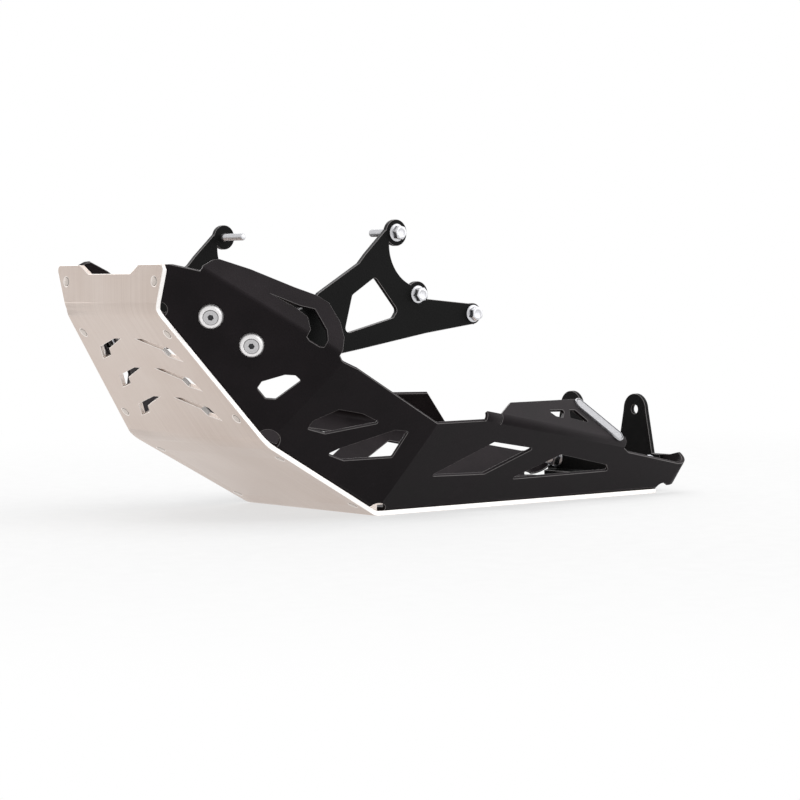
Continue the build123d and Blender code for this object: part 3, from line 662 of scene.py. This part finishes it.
class GUARD_OT_panel_screws(bpy.types.Operator):
    """Makes the countersunk socket screws in the cup washers"""
    bl_idname = "guard.panel_screws"
    bl_label = "Panel screws"

    def execute(self, context):
        settings = context.scene.guard_fasteners
        thread_end = 0.6 - SCREW_LENGTH
        tip = [(2.3, -SCREW_LENGTH), (2.95, thread_end)]
        thread = thread_rings(thread_end, -THREAD_START, 3.0, settings.thread_pitch)
        cone = [(3.0, -5.9), (3.0, -3.2), (5.45, -0.75), (5.7, -0.6), (5.6, -0.3), (5.35, -0.2)]
        face_ring = [(4.3, -0.12), (4.1, -0.22), (3.9, -0.12), (3.0, -0.08)]
        model = turned("panel_screw", tip + thread + cone + face_ring, settings.steps)
        corner = SOCKET_WIDTH / 2 / cos(pi / 6)
        socket = turned("socket", [(0.5, -SOCKET_DEPTH - 0.5), (corner, -SOCKET_DEPTH), (corner, -0.4),
                                   (corner + 0.55, 0.15)], 6)
        combine(model, socket, "DIFFERENCE")
        soften(model)
        model.data.materials.append(bare_metal("bright_zinc_screw_steel"))
        model.data.materials.append(bare_metal("painted_shade_socket_steel"))
        # Faces inside the socket get the painted shade
        for face in model.data.polygons:
            inside = face.center.xy.length < (SOCKET_WIDTH / 2 + 0.6) * MM
            deep = -(SOCKET_DEPTH + 0.55) * MM < face.center.z < -0.3 * MM
            face.material_index = 1 if inside and deep else 0
        for side in SIDES:
            node = f"panel_screws_{side}"
            repeat(model, f"panel_screw_{side}", fastener_places(node), None, node, SCREW_TURN)
        bpy.data.objects.remove(model)
        return {"FINISHED"}


def flange_rings(size):
    """Rings of a pressed flange from its seat up to where the hexagon stands on it."""
    radius, height, inner = FLANGE_WIDTH[size] / 2, FLANGE_HEIGHT[size], HEX_WIDTH[size] / 2 * 0.9
    return [(radius - 0.3, 0.0), (radius, 0.2), (radius, height * 0.45), (radius - 0.3, height * 0.65),
            (inner + 0.6, height), (inner, height * 1.05)]


def bolt_model(name, size, length, pitch, dimple, steps):
    """Forged bolt with a flanged hexagon head above Z = 0 and a rolled thread below."""
    width, head = HEX_WIDTH[size], HEAD_HEIGHT[size]
    thread_end = TIP_CHAMFER - length
    tip = [(size / 2 - TIP_CHAMFER, -length), (size / 2 - 0.05, thread_end)]
    thread = thread_rings(thread_end, -THREAD_START, size / 2, pitch)
    shank = [(size / 2, 0.2 - THREAD_START), (size / 2, 0.0)]
    model = turned(name, tip + thread + shank + flange_rings(size), steps)
    combine(model, hex_body(name + "_head", size, head), "UNION")
    cup = turned(name + "_dimple", [(width * 0.2, head - dimple), (width * 0.3, head - dimple * 0.45),
                                    (width * 0.33, head + 0.2)], steps)
    combine(model, cup, "DIFFERENCE")
    return soften(model, FORGED_EDGE)


def nut_model(name, size, pitch, steps):
    """Flanged nut that stands below Z = 0, with its seat on top and a threaded bore."""
    height, radius = NUT_HEIGHT[size], size / 2
    model = turned(name, flange_rings(size), steps)
    combine(model, hex_body(name + "_body", size, height), "UNION")
    lower_cone = [(radius + 0.5, -0.4), (radius - 0.35, 0.6)]
    thread = thread_rings(0.6, height - 0.6, radius + 0.05, pitch)
    upper_cone = [(radius - 0.35, height - 0.6), (radius + 0.5, height + 0.4)]
    combine(model, turned(name + "_bore", lower_cone + thread + upper_cone, steps), "DIFFERENCE")
    soften(model, FORGED_EDGE)
    select_only(model)
    model.rotation_euler = (pi, 0, 0)
    bpy.ops.object.transform_apply(location=True, rotation=True, scale=True)
    return model


class GUARD_OT_nuts(bpy.types.Operator):
    """Makes the flanged nuts behind the panel screws and on the rear bolts"""
    bl_idname = "guard.nuts"
    bl_label = "Nuts"

    def execute(self, context):
        settings = context.scene.guard_fasteners
        metal = bare_metal("bright_zinc_nut_steel")
        small = nut_model("small_nut", 6, settings.thread_pitch, settings.steps)
        large = nut_model("large_nut", 8, COARSE_PITCH, settings.steps)
        for model, node_name in ((small, "panel_nuts"), (large, "rear_nut")):
            for side in SIDES:
                node = f"{node_name}_{side}"
                name = f"{node_name.rstrip('s')}_{side}"
                repeat(model, name, fastener_places(node), metal, node, NUT_TURN)
            bpy.data.objects.remove(model)
        return {"FINISHED"}


class GUARD_OT_bolts(bpy.types.Operator):
    """Makes the flanged hexagon bolts to the engine and at the rear"""
    bl_idname = "guard.bolts"
    bl_label = "Bolts"

    def execute(self, context):
        settings = context.scene.guard_fasteners
        metal = bare_metal("bright_zinc_bolt_steel")
        small = bolt_model("engine_bolt", 6, ENGINE_BOLT_LENGTH, settings.thread_pitch, settings.dimple,
                           settings.steps)
        large = bolt_model("rear_bolt", 8, REAR_BOLT_LENGTH, COARSE_PITCH, settings.dimple, settings.steps)
        for model, node_name, size in ((small, "engine_bolts", 6), (large, "rear_bolt", 8)):
            seat = Matrix.Translation((0, 0, -HEAD_HEIGHT[size] * MM))
            for side in SIDES:
                node = f"{node_name}_{side}"
                places = [place @ seat for place in fastener_places(node)]
                name = f"{node_name.rstrip('s')}_{side}"
                repeat(model, name, places, metal, node, BOLT_TURN)
            bpy.data.objects.remove(model)
        return {"FINISHED"}


class GUARD_OT_badge(bpy.types.Operator):
    """Makes the blank badge with its raised rim, and its two round-headed pins"""
    bl_idname = "guard.badge"
    bl_label = "Badge"

    def execute(self, context):
        points = loose_parts("badge_plate")[0]
        centre = points.mean(axis=0)
        vectors = np.linalg.eigh(np.cov((points - centre).T))[1]
        along, normal = Vector(vectors[:, 2]), Vector(vectors[:, 0])
        normal = normal if normal.z > 0 else -normal
        along = along if along.x > 0 else -along
        axes = [along, normal.cross(along), normal]
        spans = [((points @ np.array(axis)).min(), (points @ np.array(axis)).max()) for axis in axes]
        middle = sum((axis * (low + high) / 2 for axis, (low, high) in zip(axes[:2], spans[:2])), Vector())
        place = Matrix.Translation(middle + normal * spans[2][0]) @ Matrix(axes).transposed().to_4x4()
        length, width, height = ((high - low) / MM for low, high in spans)

        deselect()
        bpy.ops.mesh.primitive_circle_add(vertices=BADGE_STEPS, radius=width / 2 * MM, fill_type="NGON")
        plate = bpy.context.object
        plate.name = plate.data.name = "badge"
        metal = bare_metal("satin_badge_aluminium")
        plate.data.materials.append(metal)
        plate.data.materials.append(bare_metal("painted_shade_badge_groove"))
        for side in (-1, 1):
            bpy.ops.object.mode_set(mode="EDIT")
            bpy.ops.mesh.select_mode(type="VERT")
            bpy.ops.mesh.select_all(action="DESELECT")
            bpy.ops.object.mode_set(mode="OBJECT")
            for vertex in plate.data.vertices:
                vertex.select = vertex.co.x * side > MERGE_DISTANCE
            bpy.ops.object.mode_set(mode="EDIT")
            bpy.ops.transform.translate(value=(side * (length - width) / 2 * MM, 0, 0))
        bpy.ops.mesh.select_mode(type="FACE")
        bpy.ops.mesh.select_all(action="SELECT")
        lift = (0, 0, (height - BADGE_EDGE) * MM)
        bpy.ops.mesh.extrude_region_move(TRANSFORM_OT_translate={"value": lift})
        bpy.ops.mesh.inset(thickness=BADGE_EDGE * MM, depth=BADGE_EDGE * MM)
        bpy.ops.mesh.inset(thickness=BADGE_RIM * MM)
        # The groove gets the painted shade
        plate.active_material_index = 1
        bpy.ops.object.material_slot_assign()
        bpy.ops.mesh.inset(thickness=BADGE_GROOVE_WALL * MM, depth=-BADGE_GROOVE_DEPTH * MM)
        bpy.ops.mesh.inset(thickness=BADGE_GROOVE_FLOOR * MM)
        plate.active_material_index = 0
        bpy.ops.object.material_slot_assign()
        bpy.ops.mesh.inset(thickness=BADGE_GROOVE_WALL * MM, depth=BADGE_FIELD_RISE * MM)
        bpy.ops.mesh.select_all(action="SELECT")
        bpy.ops.mesh.normals_make_consistent(inside=False)
        bpy.ops.object.mode_set(mode="OBJECT")
        soften(plate)
        stand(plate, place, None, "badge_plate")

        shank = [(0.9, -5.4), (1.4, -5.2), (1.4, -4.9), (0.9, -4.9), (0.9, -0.5)]
        round_head = [(1.4, -0.5), (1.4, -0.35), (1.2, -0.15), (0.8, -0.03), (0.3, 0.0)]
        pin = turned("badge_pin", shank + round_head, PIN_STEPS)
        soften(pin)
        repeat(pin, "badge_pin", fastener_places("badge_pins"), metal, "badge_pins")
        bpy.data.objects.remove(pin)
        return {"FINISHED"}


class GUARD_OT_stage(bpy.types.Operator):
    """Sets up the floor, the lamps, the white surroundings and the camera"""
    bl_idname = "guard.stage"
    bl_label = "Stage"

    def execute(self, context):
        stage = context.scene.guard_stage
        deselect()
        bpy.ops.mesh.primitive_circle_add(vertices=FLOOR_STEPS, radius=FLOOR_RADIUS, fill_type="NGON",
                                          location=(0, 0, FLOOR_LEVEL))
        floor = bpy.context.object
        floor.name = "studio_floor"
        bpy.ops.object.transform_apply(location=True)
        floor.data.materials.append(paper_floor())
        # The key lamp isn't mirrored, because it would burn out the flat keel seen from above
        lamps = [("key_lamp", KEY_LAMP, stage.key_power, False),
                 ("side_lamp", SIDE_LAMP, stage.side_power, True),
                 ("back_lamp", BACK_LAMP, stage.back_power, True)]
        for name, (spot, size), power, mirrored in lamps:
            aim = Vector(LAMP_AIM) - Vector(spot)
            turn = aim.to_track_quat("-Z", "Y").to_euler()
            bpy.ops.object.light_add(type="AREA", location=spot, rotation=turn)
            lamp = bpy.context.object
            lamp.name = name
            lamp.data.size = size
            lamp.data.energy = power
            lamp.visible_glossy = mirrored
        surroundings(stage.sky)
        view = (Matrix.Rotation(radians(CAMERA_TURN), 3, "Z") @ Matrix.Rotation(radians(CAMERA_TILT), 3, "X")
                @ Matrix.Rotation(radians(CAMERA_ROLL), 3, "Z"))
        bpy.ops.object.camera_add(location=CAMERA_PLACE, rotation=view.to_euler())
        camera = bpy.context.object
        camera.name = "photo_camera"
        camera.data.lens = stage.lens
        camera.data.sensor_width = SENSOR_WIDTH
        context.scene.camera = camera
        context.scene.view_settings.view_transform = "Standard"
        return {"FINISHED"}


def seen_directly(tree):
    """1 for rays from the camera and for what gloss and glass show, else 0."""
    path = add(tree, "LightPath")
    first = add(tree, "Math", links={0: (path, "Is Camera Ray"), 1: (path, "Is Glossy Ray")},
                operation="MAXIMUM")
    return add(tree, "Math", links={0: (first, "Value"), 1: (path, "Is Transmission Ray")},
               operation="MAXIMUM")


def paper_floor():
    """White studio paper: matt, and pure white away from the object, with the object's shadow on it. It looks
    whiter than it lights the object, and a little whiter still in what mirrors it."""
    material, tree, output = new_material("white_studio_paper")
    seen = seen_directly(tree)
    place = add(tree, "TexCoord")
    distance = add(tree, "VectorMath", links={0: (place, "Object")}, operation="LENGTH")
    far = add(tree, "MapRange", {"From Min": FLOOR_FADE[0], "From Max": FLOOR_FADE[1]},
              {"Value": (distance, "Value")}, interpolation_type="SMOOTHSTEP")
    fade = add(tree, "Math", links={0: (far, "Result"), 1: (seen, "Value")}, operation="MULTIPLY")
    path = add(tree, "LightPath")
    mirrored = add(tree, "Math", {1: MIRRORED_LIFT}, {0: (path, "Is Glossy Ray")}, operation="MULTIPLY")
    lift = add(tree, "Math", {1: FLOOR_LIFT}, {0: (seen, "Value"), 2: (mirrored, "Value")},
               operation="MULTIPLY_ADD")
    fibres = grain(tree, PAPER_FIBRES)
    tone = ramp(tree, (fibres, "Fac"), 0.3, 0.7, (linear("#7A7A7A"), linear("#7E7E7E")))
    paper = add(tree, "BsdfDiffuse", links={"Color": (tone, "Color")})
    glow = add(tree, "Emission", {"Color": (1, 1, 1, 1)}, {"Strength": (lift, "Value")})
    near = add(tree, "AddShader", links={0: (paper, "BSDF"), 1: (glow, "Emission")})
    white = add(tree, "Emission", {"Color": (1, 1, 1, 1), "Strength": 1.0})
    surface = add(tree, "MixShader", links={0: (fade, "Value"), 1: (near, "Shader"),
                                            2: (white, "Emission")})
    tree.links.new(surface.outputs["Shader"], output.inputs["Surface"])
    return material


def surroundings(strength):
    """Even light from all round, seen as pure white."""
    world = bpy.context.scene.world or bpy.data.worlds.new("white_surroundings")
    bpy.context.scene.world = world
    world.use_nodes = True
    tree = world.node_tree
    tree.nodes.clear()
    seen = seen_directly(tree)
    level = add(tree, "MapRange", {"To Min": strength, "To Max": 1.0}, {"Value": (seen, "Value")})
    light = add(tree, "Background", {"Color": (1, 1, 1, 1)}, {"Strength": (level, "Result")})
    output = add(tree, "OutputWorld")
    tree.links.new(light.outputs["Background"], output.inputs["Surface"])


class GUARD_PT_panel(bpy.types.Panel):
    """Lists the pieces of the engine guard with their settings"""
    bl_idname = "GUARD_PT_panel"
    bl_label = "Engine guard"
    bl_space_type = "VIEW_3D"
    bl_region_type = "UI"
    bl_category = "Engine guard"

    def draw(self, context):
        for piece in PIECES:
            self.layout.operator(piece.bl_idname)
        for group in (context.scene.guard_finish, context.scene.guard_fasteners, context.scene.guard_stage):
            for name in group.__annotations__:
                self.layout.prop(group, name)


PIECES = (GUARD_OT_base_plate, GUARD_OT_side_panels, GUARD_OT_brackets, GUARD_OT_rivets, GUARD_OT_cup_washers,
          GUARD_OT_panel_screws, GUARD_OT_nuts, GUARD_OT_bolts, GUARD_OT_badge, GUARD_OT_stage)
CLASSES = (FinishSettings, FastenerSettings, StageSettings) + PIECES + (GUARD_PT_panel,)


def register():
    for item in CLASSES:
        bpy.utils.register_class(item)
    bpy.types.Scene.guard_finish = PointerProperty(type=FinishSettings)
    bpy.types.Scene.guard_fasteners = PointerProperty(type=FastenerSettings)
    bpy.types.Scene.guard_stage = PointerProperty(type=StageSettings)


def unregister():
    del bpy.types.Scene.guard_stage, bpy.types.Scene.guard_fasteners, bpy.types.Scene.guard_finish
    for item in reversed(CLASSES):
        bpy.utils.unregister_class(item)


def main():
    register()
    for piece in PIECES:
        family, name = piece.bl_idname.split(".")
        getattr(getattr(bpy.ops, family), name)()


if __name__ == "__main__":
    main()
